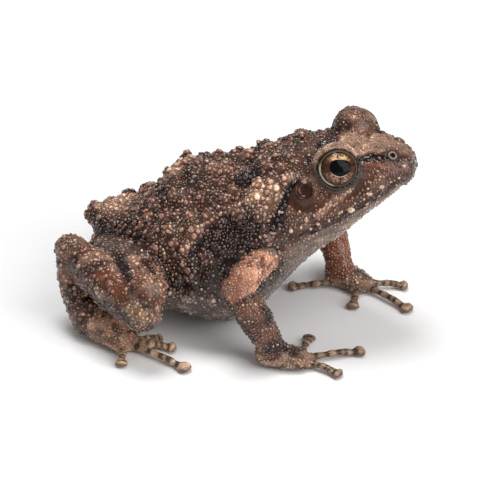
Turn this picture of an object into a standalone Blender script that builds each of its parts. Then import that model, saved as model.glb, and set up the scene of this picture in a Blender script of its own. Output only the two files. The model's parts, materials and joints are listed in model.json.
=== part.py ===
"""A greenhouse frog sitting at rest, life size, as a still model in named pieces.

The frog looks along +X, its left side is +Y and +Z is up. The origin lies on the floor, on
the flat that the belly rests on. The pieces are shaped in millimetres of the living animal,
and each is turned into metres by UNIT when it is finished.
"""

import functools
import math
import random

import bmesh
import bpy
from mathutils import Matrix, Vector

# Driving sizes, in millimetres
SNOUT_VENT = 29.0            # snout to vent, a grown female
UNIT = 0.001 * SNOUT_VENT / 29.0
GAP = 0.3                    # clear space between two pieces that meet
SLIVER = 0.001               # points closer than this are one point
RIGHT, LEFT = -1, 1          # sides of the body, as the sign of Y
SIDE_NAME = {RIGHT: "right", LEFT: "left"}

# Upright sections of the body from vent to snout: x, height of the widest line, half width,
# rise above that line, drop below it, boxiness above and below (2 is round)
BODY = (
    (-12.2, 6.7, 1.2, 1.0, 1.0, 2.0, 2.0),     # vent
    (-11.3, 6.4, 2.3, 1.6, 1.8, 2.1, 2.0),     # rump
    (-9.0, 5.6, 4.2, 3.0, 3.0, 2.2, 1.9),      # pelvis
    (-6.7, 5.0, 5.8, 5.4, 4.5, 2.3, 1.7),      # loin
    (-5.6, 4.8, 6.4, 7.1, 4.8, 2.3, 1.6),      # hump of the sacrum
    (-4.6, 4.8, 6.8, 7.6, 5.0, 2.3, 1.55),     # back
    (-2.5, 4.7, 7.3, 7.9, 5.0, 2.3, 1.55),     # belly
    (0.5, 5.4, 7.4, 8.3, 5.7, 2.3, 1.6),       # ribs
    (3.0, 7.4, 6.7, 7.7, 5.2, 2.3, 2.0),       # chest
    (5.2, 9.4, 6.0, 6.8, 4.0, 2.3, 2.3),       # shoulder
    (7.2, 11.0, 5.5, 5.6, 3.2, 2.4, 2.4),      # corner of the jaw
    (9.2, 12.0, 4.75, 4.9, 2.4, 2.6, 2.6),     # eyes
    (11.2, 13.25, 3.75, 4.0, 1.55, 2.6, 2.6),  # cheek
    (12.8, 14.05, 2.6, 2.95, 0.9, 2.5, 2.5),   # nostrils
    (13.7, 14.7, 1.8, 2.0, 0.7, 2.3, 2.3),     # snout
)
BODY_ROWS = 600              # sections worked out between these
NECK_X = 5.2                 # the head is parted from the torso here
TORSO_RINGS, HEAD_RINGS = 26, 15
BODY_SIDES = 14              # points in the top half of a ring, and in the bottom half
VENT_CAP, SNOUT_CAP = 0.7, 0.75
SNOUT_SLOPE = 0.12           # how far the snout's top overhangs the lip, for each mm of height

# The closed mouth is a groove along the widest line of the head
MOUTH_CORNER_X = 6.4
MOUTH_FADE = 0.7
MOUTH_DEPTH = 0.34
LIP_HEIGHT = 0.32
LIP_SWELL = 0.1

EYE_RADIUS = 1.42
EYE_BACK = 0.5               # the eyeball is cut flat this far behind its centre
EYE_PLACE = Vector((8.92, 3.41, 16.25))      # left eyeball's centre
EYE_LOOKS = Vector((0.34, 0.86, 0.38)).normalized()
LID_PLACE = Vector((8.9, 3.13, 16.0))        # centre of the swelling that holds the eye
LID_RADII = (2.1, 1.95, 1.9)

# Place along the body and turn round it, radius of the rim and of the opening inside it, and
# how high the rim stands and how deep the opening goes
NOSTRIL = (12.83, 64.0, 0.42, 0.2, 0.15, 0.45)
EARDRUM = (6.7, 38.0, 1.0, 0.72, 0.2, 0.12)

# Warts in the solids: how many on the torso and head, and their radii
TORSO_WARTS, HEAD_WARTS = 52, 8
WART_RADII = (0.38, 0.75)
WART_HEIGHT = 0.5            # as a share of the radius
WART_SPACE = 0.35            # least space between two

# Fore limbs as posed, by side. Points are x, distance out from the midline, height.
# The wrist turns down to a palm that lies on the floor, and tips are fingers 1 to 4.
FORE = {
    RIGHT: {
        "shoulder": (3.9, 6.0, 8.8),
        "elbow": (2.1, 8.5, 6.9),
        "wrist": (5.1, 7.8, 1.5),
        "palm": (7.0, 7.1, 0.6),
        "tips": ((4.4, 4.9), (6.9, 3.66), (11.31, 4.37), (10.36, 8.02)),
    },
    LEFT: {
        "shoulder": (4.6, 5.8, 8.4),
        "elbow": (4.3, 8.5, 6.2),
        "wrist": (7.1, 5.9, 1.5),
        "palm": (8.8, 5.6, 0.6),
        "tips": ((3.54, 3.85), (9.04, 2.3), (13.4, 3.06), (12.24, 6.5)),
    },
}

# Hind limbs, folded beside the body: tips are toes 1 to 5
HIND = {
    RIGHT: {
        "hip": (-10.3, 1.8, 4.7),
        "knee": (-4.6, 10.0, 6.5),
        "fold": (-4.8, 10.6, 4.9),
        "heel": (-12.4, 5.7, 6.6),
        "ankle": (-10.4, 7.7, 1.5),
        "ball": (-7.2, 8.5, 0.6),
        "tips": ((-6.4, 5.7), (-4.8, 6.99), (-3.37, 7.96), (-1.41, 10.56), (-6.47, 11.25)),
    },
    LEFT: {
        "hip": (-10.0, 1.8, 3.9),
        "knee": (-3.8, 9.8, 4.9),
        "fold": (-4.0, 10.4, 3.3),
        "heel": (-11.2, 5.8, 4.2),
        "ankle": (-10.2, 8.0, 1.5),
        "ball": (-6.4, 9.1, 0.6),
        "tips": ((-5.6, 6.3), (-4.0, 7.6), (-2.4, 8.7), (-0.6, 11.4), (-5.6, 12.0)),
    },
}

# A digit's sections from root to tip: share of its length, half width, rise, drop, lift.
# The joints swell a little and the tip widens to a flat disc.
DIGIT = (
    (0.0, 0.42, 0.42, 0.42, 0.05),
    (0.33, 0.3, 0.3, 0.3, 0.14),
    (0.6, 0.4, 0.37, 0.37, 0.16),
    (0.78, 0.28, 0.28, 0.3, 0.06),
    (0.93, 0.6, 0.36, 0.3, 0.0),
    (1.0, 0.6, 0.36, 0.3, 0.0),
)
DIGIT_ROOT_HEIGHT, DIGIT_TIP_HEIGHT = 0.5, 0.3

# Colour, roughness and metallic value of each kind of piece
LOOKS = {
    "torso": ((0.075, 0.040, 0.026), 0.42, 0.0),
    "head": ((0.115, 0.060, 0.038), 0.42, 0.0),
    "eye": ((0.16, 0.085, 0.03), 0.08, 0.0),
    "upper_arm": ((0.24, 0.115, 0.07), 0.42, 0.0),
    "forearm": ((0.115, 0.055, 0.036), 0.42, 0.0),
    "hand": ((0.13, 0.075, 0.052), 0.42, 0.0),
    "finger": ((0.24, 0.155, 0.10), 0.38, 0.0),
    "thigh": ((0.085, 0.045, 0.028), 0.42, 0.0),
    "shank": ((0.095, 0.052, 0.03), 0.42, 0.0),
    "tarsus": ((0.10, 0.055, 0.034), 0.42, 0.0),
    "foot": ((0.12, 0.07, 0.045), 0.42, 0.0),
    "toe": ((0.22, 0.145, 0.09), 0.38, 0.0),
}


# Curves and rings

def along(stations, count):
    """Rows at even spacing on a smooth curve through the stations."""
    dist = [0.0]
    for a, b in zip(stations, stations[1:]):
        dist.append(dist[-1] + math.dist(a[:3], b[:3]))
    rows = []
    for k in range(count):
        s = dist[-1] * k / (count - 1)
        i = min(max(j for j in range(len(dist)) if dist[j] <= s + 1e-9), len(stations) - 2)
        t = (s - dist[i]) / (dist[i + 1] - dist[i])
        before = stations[max(i - 1, 0)]
        after = stations[min(i + 2, len(stations) - 1)]
        row = []
        for p0, p1, p2, p3 in zip(before, stations[i], stations[i + 1], after):
            start_slope, end_slope = (p2 - p0) / 2, (p3 - p1) / 2
            row.append(
                (2 * t**3 - 3 * t**2 + 1) * p1 + (t**3 - 2 * t**2 + t) * start_slope
                + (-2 * t**3 + 3 * t**2) * p2 + (t**3 - t**2) * end_slope
            )
        rows.append(row)
    return rows


def oval(centre, side, up, width, rise, drop, count):
    """A ring of points, half width across and rise above or drop below its centre."""
    ring = []
    for k in range(count):
        turn = 2 * math.pi * k / count
        height = math.sin(turn) * (rise if math.sin(turn) > 0 else drop)
        ring.append(centre + side * width * math.cos(turn) + up * height)
    return ring


def closed_form(name, rings, first_tip=None, last_tip=None):
    """A closed mesh through the rings. An end with no tip is a flat face."""
    count = len(rings[0])
    points = [p for ring in rings for p in ring]
    faces = []
    for i in range(len(rings) - 1):
        for k in range(count):
            n = (k + 1) % count
            faces.append((i * count + k, i * count + n, (i + 1) * count + n, (i + 1) * count + k))
    for tip, base in ((first_tip, 0), (last_tip, (len(rings) - 1) * count)):
        if tip is None:
            faces.append(tuple(base + k for k in range(count)))
        else:
            points.append(tip)
            faces.extend((len(points) - 1, base + k, base + (k + 1) % count) for k in range(count))
    mesh = bpy.data.meshes.new(name)
    mesh.from_pydata(points, [], faces)
    form = bmesh.new()
    form.from_mesh(mesh)
    bmesh.ops.recalc_face_normals(form, faces=form.faces)
    form.to_mesh(mesh)
    form.free()
    piece = bpy.data.objects.new(name, mesh)
    bpy.context.scene.collection.objects.link(piece)
    return piece


def on_floor(points):
    """The same points with none below the floor, so that what rests there is flat."""
    return [Vector((p.x, p.y, max(p.z, 0.0))) for p in points]


# Joining and cutting

def apply_modifiers(piece):
    depsgraph = bpy.context.evaluated_depsgraph_get()
    shaped = bpy.data.meshes.new_from_object(piece.evaluated_get(depsgraph))
    piece.modifiers.clear()
    piece.data = shaped


def combine(piece, others, operation):
    """Join the others to the piece, or cut the piece by them, and then remove them."""
    group = bpy.data.collections.new("group")
    for other in others:
        group.objects.link(other)
    boolean = piece.modifiers.new("combine", "BOOLEAN")
    boolean.operation = operation
    boolean.operand_type = "COLLECTION"
    boolean.collection = group
    apply_modifiers(piece)
    for other in others:
        bpy.data.objects.remove(other, do_unlink=True)
    bpy.data.collections.remove(group)


def keep_largest(piece):
    """Leave only the largest closed surface of a piece, with its slivers merged."""
    form = bmesh.new()
    form.from_mesh(piece.data)
    bmesh.ops.remove_doubles(form, verts=form.verts, dist=SLIVER)
    bmesh.ops.dissolve_degenerate(form, edges=form.edges, dist=SLIVER)
    bmesh.ops.triangulate(form, faces=form.faces)
    unseen = set(form.faces)
    shells = []
    while unseen:
        shell, waiting = [], [unseen.pop()]
        while waiting:
            face = waiting.pop()
            shell.append(face)
            for other in {other for edge in face.edges for other in edge.link_faces} & unseen:
                unseen.remove(other)
                waiting.append(other)
        shells.append(shell)
    shells.sort(key=lambda shell: sum(face.calc_area() for face in shell))
    scraps = [face for shell in shells[:-1] for face in shell]
    bmesh.ops.delete(form, geom=scraps, context="FACES")
    form.to_mesh(piece.data)
    form.free()


def finish(piece, look):
    """Give a piece its real size in metres, its own material and smooth shading."""
    piece.data.transform(Matrix.Scale(UNIT, 4))
    colour, roughness, metallic = LOOKS[look]
    material = bpy.data.materials.new(piece.name)
    material.use_nodes = True
    shader = material.node_tree.nodes["Principled BSDF"]
    shader.inputs["Base Color"].default_value = (*colour, 1.0)
    shader.inputs["Roughness"].default_value = roughness
    shader.inputs["Metallic"].default_value = metallic
    piece.data.materials.clear()
    piece.data.materials.append(material)
    piece.data.shade_smooth()
    piece.data.set_sharp_from_angle(angle=math.radians(40))


def settle(name, look, form, neighbours):
    """Make a piece, cut it back to GAP from the pieces that it meets, and finish it."""
    piece = form(name, 0.0)
    combine(piece, [neighbour("cutter", GAP) for neighbour in neighbours], "DIFFERENCE")
    keep_largest(piece)
    finish(piece, look)
    return piece


# Torso and head, two stretches of one body

def smooth_step(low, high, value):
    t = min(max((value - low) / (high - low), 0.0), 1.0)
    return t * t * (3 - 2 * t)


@functools.cache
def body_rows():
    return along([(s[0], 0.0, *s[1:]) for s in BODY], BODY_ROWS)


def body_row(x):
    """The section at x, as x, y, height, half width, rise, drop and boxiness above and below."""
    return min(body_rows(), key=lambda row: abs(row[0] - x))


def body_point(row, turn, grow=0.0):
    x, y, z, width, rise, drop, box_above, box_below = row
    c, s = math.cos(turn), math.sin(turn)
    box = box_above if s > 0 else box_below
    across = math.copysign(abs(c) ** (2 / box), c) * (width + grow)
    height = math.copysign(abs(s) ** (2 / box), s) * ((rise if s > 0 else drop) + grow)
    return Vector((x, y + across, z + height))


def body_ring(row, grow=0.0, scale=1.0, forward=0.0):
    """A ring of the body, with the lips and the groove of the mouth at its widest line."""
    x, y, z, width = row[:4]
    mouth = smooth_step(MOUTH_CORNER_X - MOUTH_FADE, MOUTH_CORNER_X + MOUTH_FADE, x + forward)
    edge = (width + grow) * scale
    first_up = body_point(row, math.pi / (BODY_SIDES + 1)).z - z
    first_down = z - body_point(row, -math.pi / (BODY_SIDES + 1)).z
    lips = (
        (-min(LIP_HEIGHT, 0.6 * first_down) * scale, edge),
        (0.0, edge - MOUTH_DEPTH * mouth * scale),
        (min(LIP_HEIGHT, 0.6 * first_up) * scale, edge + LIP_SWELL * mouth * scale),
    )
    ring = []
    for side, start, ordered in ((LEFT, 0.0, lips), (RIGHT, math.pi, lips[::-1])):
        ring.extend(Vector((x, y + side * across, z + rise)) for rise, across in ordered)
        for k in range(1, BODY_SIDES + 1):
            point = body_point(row, start + math.pi * k / (BODY_SIDES + 1), grow)
            ring.append(Vector((x, y + (point.y - y) * scale, z + (point.z - z) * scale)))
    return [Vector((p.x + forward * (1 + SNOUT_SLOPE * (p.z - z)), p.y, p.z)) for p in ring]


def body_stretch(low, high, count, grow, name, vent=False, snout=False):
    rings = []
    for k in range(count):
        share = k / (count - 1)
        rings.append(body_ring(body_row(low + (high - low) * share), grow))
    first_tip = last_tip = None
    turns = (0.35, 0.7, 0.9)
    if vent:
        row = body_row(low)
        for turn in turns:
            a = turn * math.pi / 2
            rings.insert(0, body_ring(row, grow, math.cos(a), -(VENT_CAP + grow) * math.sin(a)))
        first_tip = Vector((low - VENT_CAP - grow, 0.0, row[2]))
    if snout:
        row = body_row(high)
        for turn in turns:
            a = turn * math.pi / 2
            rings.append(body_ring(row, grow, math.cos(a), (SNOUT_CAP + grow) * math.sin(a)))
        last_tip = Vector((high + SNOUT_CAP + grow, 0.0, row[2]))
    return closed_form(name, [on_floor(ring) for ring in rings], first_tip, last_tip)


def torso_form(name, grow):
    return body_stretch(BODY[0][0], NECK_X + grow, TORSO_RINGS, grow, name, vent=True)


def head_form(name, grow):
    return body_stretch(NECK_X + GAP - grow, BODY[-1][0], HEAD_RINGS, grow, name, snout=True)


def on_body(x, degrees, side=LEFT):
    """A point of the body's surface and the direction that points out of it there."""
    turn = math.radians(degrees)
    step = 0.25
    here = body_point(body_row(x), turn)
    lengthwise = body_point(body_row(x + step), turn) - body_point(body_row(x - step), turn)
    crosswise = body_point(body_row(x), turn + 0.03) - body_point(body_row(x), turn - 0.03)
    out = lengthwise.cross(crosswise).normalized()
    if out.dot(here - Vector((x, 0.0, body_row(x)[2]))) < 0:
        out = -out
    mirror = Vector((1, side, 1))
    return here * mirror, out * mirror


def turned(name, profile, foot, axis, count):
    """A round solid from a profile of radius and height along its axis, ends closed."""
    axis = axis.normalized()
    side = axis.orthogonal().normalized()
    up = axis.cross(side)
    rings = [oval(foot + axis * h, side, up, r, r, r, count) for r, h in profile if r > 0]
    tips = [foot + axis * h if r == 0 else None for r, h in (profile[0], profile[-1])]
    return closed_form(name, rings, *tips)


def dome(foot, axis, radius, height, count=6):
    """A wart: a low dome whose root is sunk into what it grows from."""
    profile = ((radius, -0.35), (0.8 * radius, 0.6 * height), (0.0, height))
    return turned("wart", profile, foot, axis, count)


def limb_bones(side):
    """Each straight length of a limb, as its two ends."""
    fore, hind = FORE[side], HIND[side]
    chains = (
        (fore, ("shoulder", "elbow", "wrist")),
        (hind, ("hip", "knee")),
        (hind, ("fold", "heel", "ankle")),
    )
    for pose, names in chains:
        for a, b in zip(names, names[1:]):
            yield Vector(pose[a]), Vector(pose[b])


def clear_of_limbs(point, side, room=3.2):
    spot = Vector((point.x, side * point.y, point.z))
    for a, b in limb_bones(side):
        share = min(max((spot - a).dot(b - a) / (b - a).length_squared, 0.0), 1.0)
        if (spot - a - (b - a) * share).length < room:
            return False
    return True


def warts(count, low, high, lowest_turn, draw, kept_clear=()):
    """Domes spread over the back and flanks, none touching another or a limb."""
    placed = []
    made = []
    for _ in range(count * 30):
        if len(made) == count:
            break
        side = draw.choice((RIGHT, LEFT))
        radius = draw.uniform(*WART_RADII)
        foot, out = on_body(draw.uniform(low, high), draw.uniform(lowest_turn, 88), side)
        apart = all((foot - other).length > radius + r + WART_SPACE for other, r in placed)
        free = all((foot - spot).length > radius + room for spot, room in kept_clear)
        if apart and free and clear_of_limbs(foot, side):
            placed.append((foot, radius))
            made.append(dome(foot, out, radius, WART_HEIGHT * radius))
    return made


def torso():
    piece = torso_form("torso", 0.0)
    combine(piece, warts(TORSO_WARTS, -10.5, NECK_X - 1.3, 8, random.Random(4)), "UNION")
    keep_largest(piece)
    finish(piece, "torso")


def mirrored(point, side):
    return Vector((point[0], side * point[1], point[2]))


def ellipsoid(name, centre, radii, count=18, rings=10):
    form = bmesh.new()
    bmesh.ops.create_uvsphere(form, u_segments=count, v_segments=rings, radius=1.0)
    bmesh.ops.scale(form, vec=radii, verts=form.verts)
    bmesh.ops.translate(form, vec=centre, verts=form.verts)
    mesh = bpy.data.meshes.new(name)
    form.to_mesh(mesh)
    form.free()
    piece = bpy.data.objects.new(name, mesh)
    bpy.context.scene.collection.objects.link(piece)
    return piece


def head():
    """The head with its lids, eye sockets, nostrils and eardrums."""
    piece = head_form("head", 0.0)
    raised, hollows, kept_clear = [], [], []
    for side in (RIGHT, LEFT):
        raised.append(ellipsoid("lid", mirrored(LID_PLACE, side), LID_RADII))
        kept_clear.append((mirrored(LID_PLACE, side), LID_RADII[0]))
        for (x, turn, rim, hole, height, depth), count in ((NOSTRIL, 10), (EARDRUM, 16)):
            foot, out = on_body(x, turn, side)
            crest = (rim + hole) / 2
            profile = ((rim, -0.45), (rim, 0.0), (crest, height), (0.0, height))
            raised.append(turned("rim", profile, foot, out, count))
            hollows.append(turned("hole", ((hole, -depth), (hole, 1.0)), foot, out, count))
            kept_clear.append((foot, rim))
        hollows.append(socket(side))
    raised.extend(warts(HEAD_WARTS, NECK_X + 1.4, 11.5, 20, random.Random(9), kept_clear))
    combine(piece, raised, "UNION")
    combine(piece, hollows, "DIFFERENCE")
    keep_largest(piece)
    finish(piece, "head")


def socket(side):
    """The cut for an eye: its own round back with GAP round it, open to the front."""
    radius = EYE_RADIUS + GAP
    profile = ((0.0, -EYE_BACK - GAP), (radius * 0.9, -EYE_BACK - GAP), (radius, -0.1), (radius, 4.0))
    return turned("socket", profile, mirrored(EYE_PLACE, side), mirrored(EYE_LOOKS, side), 20)


def eye(side):
    profile = []
    for degrees in range(0, 108, 12):
        a = math.radians(degrees)
        profile.append((EYE_RADIUS * math.sin(a), EYE_RADIUS * math.cos(a)))
    profile.append((0.9 * EYE_RADIUS, -EYE_BACK))
    name = "eye_" + SIDE_NAME[side]
    piece = turned(name, profile, mirrored(EYE_PLACE, side), mirrored(EYE_LOOKS, side), 20)
    keep_largest(piece)
    finish(piece, "eye")


# Limbs

def tube(name, grow, side, joints, rings, count, up, ends=(1.0, 1.0)):
    """A limb piece through joints of (point, (half width, rise, drop)), with domed ends."""
    rows = along([(*mirrored(point, side), *size) for point, size in joints], rings)
    centres = [Vector(row[:3]) for row in rows]
    hoops = []
    frames = []
    for i, row in enumerate(rows):
        tangent = (centres[min(i + 1, rings - 1)] - centres[max(i - 1, 0)]).normalized()
        across = Vector(up).cross(tangent).normalized()
        frames.append((tangent, across, tangent.cross(across)))
        size = [value + grow for value in row[3:]]
        hoops.append(oval(centres[i], across, frames[i][2], *size, count))
    tips = []
    for i, sign, share in ((0, -1, ends[0]), (-1, 1, ends[1])):
        tangent, across, over = frames[i]
        size = [value + grow for value in rows[i][3:]]
        length = share * (rows[i][3] + min(rows[i][4:])) / 2 + grow
        for turn in (0.4, 0.75):
            a = turn * math.pi / 2
            centre = centres[i] + tangent * sign * length * math.sin(a)
            hoop = oval(centre, across, over, *[value * math.cos(a) for value in size], count)
            hoops.insert(0 if sign < 0 else len(hoops), hoop)
        tips.append(centres[i] + tangent * sign * length)
    return closed_form(name, [on_floor(hoop) for hoop in hoops], *on_floor(tips))


def form_of(side, joints, rings, count, up, ends=(1.0, 1.0)):
    return functools.partial(tube, side=side, joints=joints, rings=rings, count=count, up=up, ends=ends)


def between(a, b, share, shift=(0, 0, 0)):
    return tuple(p + (q - p) * share + d for p, q, d in zip(a, b, shift))


def even(radius):
    return (radius, radius, radius)


def fore_limb(side):
    pose = FORE[side]
    word = SIDE_NAME[side]
    shoulder, elbow, wrist, palm = (pose[k] for k in ("shoulder", "elbow", "wrist", "palm"))
    sideways, upright = (1, 0, 0), (0, 0, 1)
    upper_arm = form_of(
        side,
        [(shoulder, even(1.2)), (between(shoulder, elbow, 0.6), even(1.15)), (elbow, even(1.12))],
        6, 14, sideways,
    )
    forearm = form_of(
        side,
        [(elbow, even(1.15)), (between(elbow, wrist, 0.4, (0.2, 0, 0)), even(1.4)), (wrist, even(1.05))],
        7, 14, sideways,
    )
    heel_of_hand = between(wrist, palm, -0.35, (0, 0, -0.7))
    hand = form_of(
        side,
        [
            (heel_of_hand, (1.0, 0.7, 0.9)), (between(wrist, palm, 0.4, (0, 0, -0.3)), (1.35, 1.0, 1.0)),
            (palm, (1.5, 0.55, 0.7)),
        ],
        6, 16, upright,
    )
    settle("upper_arm_" + word, "upper_arm", upper_arm, [torso_form, head_form])
    settle("forearm_" + word, "forearm", forearm, [torso_form, head_form, upper_arm])
    settle("hand_" + word, "hand", hand, [forearm])
    digits("finger", side, palm, pose["tips"], 1.3, [hand, forearm])


def hind_limb(side):
    pose = HIND[side]
    word = SIDE_NAME[side]
    hip, knee, fold, heel, ankle, ball = (
        pose[k] for k in ("hip", "knee", "fold", "heel", "ankle", "ball")
    )
    sideways, upright = (1, 0, 0), (0, 0, 1)
    thigh = form_of(
        side,
        [(hip, even(2.0)), (between(hip, knee, 0.5), (2.2, 2.15, 2.2)), (knee, (1.6, 1.5, 1.5))],
        8, 16, upright,
    )
    shank = form_of(
        side,
        [
            (fold, (1.5, 1.5, 1.6)), (between(fold, heel, 0.45, (0, 0.1, 0)), (1.8, 1.9, 1.9)),
            (between(fold, heel, 0.85), even(1.4)), (heel, even(1.35)),
        ],
        9, 16, upright,
    )
    tarsus = form_of(
        side,
        [(heel, even(1.3)), (between(heel, ankle, 0.5, (-0.45, 0, 0)), even(1.25)), (ankle, even(1.35))],
        7, 14, sideways,
    )
    foot = form_of(
        side,
        [
            (ankle, (1.3, 1.5, 1.4)), (between(ankle, ball, 0.5, (0, 0, 0.2)), (1.4, 1.5, 1.2)),
            (ball, (1.5, 0.6, 0.7)),
        ],
        7, 16, upright,
    )
    settle("thigh_" + word, "thigh", thigh, [torso_form])
    settle("shank_" + word, "shank", shank, [torso_form, thigh])
    settle("tarsus_" + word, "tarsus", tarsus, [torso_form, thigh, shank])
    settle("foot_" + word, "foot", foot, [torso_form, shank, tarsus])
    digits("toe", side, ball, pose["tips"], 1.35, [foot, torso_form])


def digits(kind, side, root, tips, reach, neighbours):
    """The fingers or toes of one limb, each cut clear of the one before it."""
    nearest = list(neighbours)
    for number, (x, y) in enumerate(tips, 1):
        end = Vector((x, y, DIGIT_TIP_HEIGHT))
        start = Vector((root[0], root[1], DIGIT_ROOT_HEIGHT))
        start += (end - start).normalized() * reach
        joints = []
        for share, width, rise, drop, lift in DIGIT:
            point = start + (end - start) * share
            joints.append(((point.x, point.y, point.z + lift), (width, rise, drop)))
        digit = form_of(side, joints, 9, 10, (0, 0, 1), (1.0, 0.9))
        settle(f"{kind}{number}_{SIDE_NAME[side]}", kind, digit, nearest)
        nearest = list(neighbours) + [digit]


def main():
    for old in list(bpy.data.objects):
        bpy.data.objects.remove(old, do_unlink=True)
    torso()
    head()
    for side in (RIGHT, LEFT):
        eye(side)
        fore_limb(side)
        hind_limb(side)


main()
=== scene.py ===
import itertools
import json
import math

import bpy
import numpy as np
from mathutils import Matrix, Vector
from mathutils.bvhtree import BVHTree
from mathutils.kdtree import KDTree

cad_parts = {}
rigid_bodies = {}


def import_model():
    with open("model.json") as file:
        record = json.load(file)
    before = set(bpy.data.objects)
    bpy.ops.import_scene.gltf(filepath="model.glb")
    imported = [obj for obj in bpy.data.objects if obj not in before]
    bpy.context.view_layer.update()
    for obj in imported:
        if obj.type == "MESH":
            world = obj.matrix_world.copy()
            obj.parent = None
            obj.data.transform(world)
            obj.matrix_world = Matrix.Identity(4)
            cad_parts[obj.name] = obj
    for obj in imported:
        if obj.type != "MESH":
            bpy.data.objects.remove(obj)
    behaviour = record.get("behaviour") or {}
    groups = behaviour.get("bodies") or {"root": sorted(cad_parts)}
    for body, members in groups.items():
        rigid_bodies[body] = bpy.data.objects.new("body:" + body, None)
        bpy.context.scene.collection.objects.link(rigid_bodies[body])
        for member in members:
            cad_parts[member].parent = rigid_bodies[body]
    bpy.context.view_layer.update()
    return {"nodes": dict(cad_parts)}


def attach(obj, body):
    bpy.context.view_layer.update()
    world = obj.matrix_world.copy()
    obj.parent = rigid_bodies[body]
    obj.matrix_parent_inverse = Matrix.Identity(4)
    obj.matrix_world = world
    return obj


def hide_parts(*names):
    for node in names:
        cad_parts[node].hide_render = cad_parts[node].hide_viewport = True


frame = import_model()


# The hide
# One soft, moist skin over all the flesh, from snout to the discs of the digits. The parts are
# swelled until they meet, fused, smoothed, and drawn back to where their own surface was.
MM = 0.001
# all sizes here are in millimetres
HIDE_VOXEL = 0.176           # the width of the mesh that fuses the parts
HIDE_SWELL = 0.17            # closes the gaps between the parts
HIDE_DEPTH = 0.05            # the granules stand on the hide, so it lies this much deeper
LONGEST_PULL = 0.22          # the furthest a point is drawn back
EYE_FILL_RADIUS = 1.6        # a ball that closes the socket behind the eye
EYE_SEAT = Vector((8.92, 3.41, 16.25))


def unit(direction):
    return np.asarray(direction) / np.linalg.norm(direction)


def length(rows):
    return np.linalg.norm(rows, axis=1)


def only(piece):
    """Selects one piece and makes it active."""
    bpy.ops.object.select_all(action="DESELECT")
    piece.select_set(True)
    bpy.context.view_layer.objects.active = piece


def read_rows(items, field, width=3, kind=float):
    """One field of all points, corners or faces of a mesh, a row for each."""
    values = np.empty(len(items) * width, kind)
    items.foreach_get(field, values)
    return values.reshape(-1, width)


def points_of(piece):
    return read_rows(piece.data.vertices, "co") / MM


def normals_of(piece):
    return read_rows(piece.data.vertices, "normal")


def set_points(piece, places):
    piece.data.vertices.foreach_set("co", (places * MM).ravel())
    piece.data.update()


def smooth(piece, factor, rounds):
    only(piece)
    soften = piece.modifiers.new("soften", "SMOOTH")
    soften.factor = factor
    soften.iterations = rounds
    bpy.ops.object.modifier_apply(modifier="soften")


flesh = [name for name in frame["nodes"] if not name.startswith("eye")]
bpy.ops.object.select_all(action="DESELECT")
for name in flesh:
    frame["nodes"][name].select_set(True)
bpy.context.view_layer.objects.active = frame["nodes"]["torso"]
bpy.ops.object.duplicate()
bpy.ops.object.parent_clear(type="CLEAR_KEEP_TRANSFORM")
bpy.ops.object.join()
hide = bpy.context.object
hide.name = hide.data.name = "hide"
hide.data.materials.clear()
bpy.ops.object.mode_set(mode="EDIT")
bpy.ops.mesh.select_all(action="SELECT")
bpy.ops.mesh.remove_doubles(threshold=1e-6)
bpy.ops.object.mode_set(mode="OBJECT")

swell = hide.modifiers.new("swell", "DISPLACE")
swell.strength = HIDE_SWELL * MM
swell.mid_level = 0.0
bpy.ops.object.modifier_apply(modifier="swell")
fills = []
for side in (-1, 1):
    bpy.ops.mesh.primitive_uv_sphere_add(
        segments=48, ring_count=32, radius=EYE_FILL_RADIUS * MM,
        location=Vector((EYE_SEAT.x, side * EYE_SEAT.y, EYE_SEAT.z)) * MM,
    )
    fills.append(bpy.context.object)
for fill in fills:
    fill.select_set(True)
hide.select_set(True)
bpy.context.view_layer.objects.active = hide
bpy.ops.object.join()

fuse = hide.modifiers.new("fuse", "REMESH")
fuse.mode = "VOXEL"
fuse.voxel_size = HIDE_VOXEL * MM
bpy.ops.object.modifier_apply(modifier="fuse")
smooth(hide, 0.5, 4)


# The parts of the body under the hide
# Each point of the hide belongs to the part nearest to it, and lies at some share of that
# part's length, from its root to its tip. Folds and markings are placed by these.
PARTS = list(flesh)
WAY_TO_TIP = {
    "upper_arm": (0, 0.3, -1), "forearm": (0, 0, -1), "hand": (1, 0, 0), "thigh": (0.4, 1, 0),
    "shank": (-1, -0.6, 0), "tarsus": (0, 0, -1), "foot": (1, 0, 0),
}
part_corners, part_faces, part_of_face = [], [], []
axes = {}
for number, name in enumerate(PARTS):
    node = frame["nodes"][name]
    corners = points_of(node)
    start = len(part_corners)
    part_corners.extend(Vector(c) for c in corners)
    for face in node.data.polygons:
        part_faces.append([start + k for k in face.vertices])
        part_of_face.append(number)
    middle = (corners.min(0) + corners.max(0)) / 2
    spread = np.linalg.svd(corners - corners.mean(0), full_matrices=False)[2][0]
    kind, _, word = name.rpartition("_")
    if name.startswith(("finger", "toe")):
        holder = points_of(frame["nodes"][("hand_" if name[0] == "f" else "foot_") + word])
        way = middle - holder.mean(0)
    elif name in ("torso", "head"):
        way = spread = np.array((1.0, 0.0, 0.0))
    else:
        way = np.array(WAY_TO_TIP[kind]) * (1, 1 if word == "left" else -1, 1)
    if spread @ way < 0:
        spread = -spread
    reach = (corners - middle) @ spread
    axes[number] = (middle, spread, reach.min(), reach.max())
part_tree = BVHTree.FromPolygons(part_corners, part_faces)


def part_at(places):
    """The number of the part nearest to each place, and the share of its length there."""
    part = np.empty(len(places), int)
    share = np.empty(len(places))
    for k, place in enumerate(places):
        part[k] = part_of_face[part_tree.find_nearest(Vector(place))[2]]
    for number, (middle, spread, low, high) in axes.items():
        here = part == number
        share[here] = ((places[here] - middle) @ spread - low) / (high - low)
    return part, share


def is_kind(part, *kinds):
    """True where the part is one of these kinds, whichever its side or number."""
    numbers = [k for k, name in enumerate(PARTS) if name.startswith(kinds)]
    return np.isin(part, numbers)


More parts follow.
